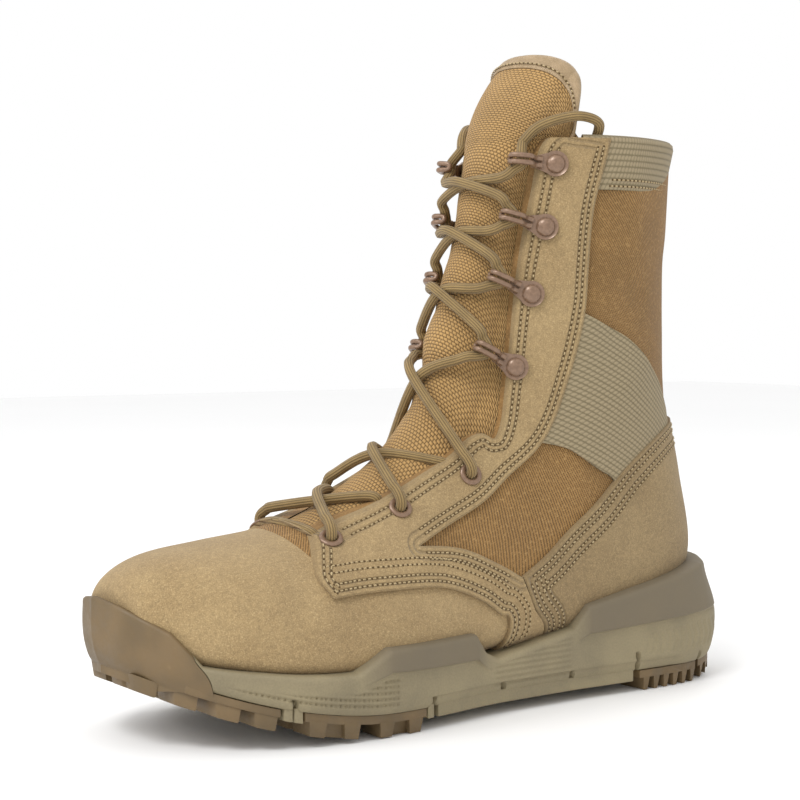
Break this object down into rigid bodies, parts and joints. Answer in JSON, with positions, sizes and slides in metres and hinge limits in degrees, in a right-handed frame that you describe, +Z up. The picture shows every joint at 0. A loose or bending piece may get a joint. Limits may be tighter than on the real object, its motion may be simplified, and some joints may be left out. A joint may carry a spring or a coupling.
{
  "type": "combat boot",
  "caption": "Left desert combat boot, a laced canvas and suede shaft boot with padded tongue, foam midsole and lugged rubber outsole.",
  "frame": {"origin": "on the floor, under the middle of the boot's length and width", "axes": "+X to the toe, +Y to the outer (left) side of the left foot, +Z up"},
  "size_m": [0.2988, 0.1082, 0.2722],
  "materials": {
    "canvas": "golden tan woven nylon",
    "suede": "tan rough suede",
    "webbing": "grey tan woven tape",
    "binding": "smooth light tan",
    "foam": "matt olive",
    "rubber": "matt brown",
    "metal": "glossy pinkish brown",
    "lace": "olive tan woven cord"
  },
  "bodies": {
    "root": {"ankle_web_lateral": "webbing", "ankle_web_medial": "webbing", "back_strip": "webbing", "collar_web": "webbing", "counter": "suede", "eyelet_lateral_1": "metal", "eyelet_lateral_2": "metal", "eyelet_lateral_3": "metal", "eyelet_medial_1": "metal", "eyelet_medial_2": "metal", "eyelet_medial_3": "metal", "eyestay_lateral": "suede", "eyestay_medial": "suede", "forefoot_pod_centre": "rubber", "forefoot_pod_lateral": "rubber", "forefoot_pod_medial": "rubber", "heel_pod_lateral": "rubber", "heel_pod_medial": "rubber", "heel_tip_lateral": "rubber", "heel_tip_medial": "rubber", "hook_lateral_1": "metal", "hook_lateral_2": "metal", "hook_lateral_3": "metal", "hook_lateral_4": "metal", "hook_medial_1": "metal", "hook_medial_2": "metal", "hook_medial_3": "metal", "hook_medial_4": "metal", "insole": "canvas", "lace_bar": "lace", "lace_crossing_1": "lace", "lace_crossing_2": "lace", "lace_crossing_3": "lace", "lace_crossing_4": "lace", "lace_crossing_5": "lace", "lace_crossing_6": "lace", "lace_end_lateral": "lace", "lace_end_medial": "lace", "midsole": "foam", "toe_bumper": "rubber", "tongue": "canvas", "tongue_binding": "binding", "upper": "canvas"}
  },
  "joints": []
}
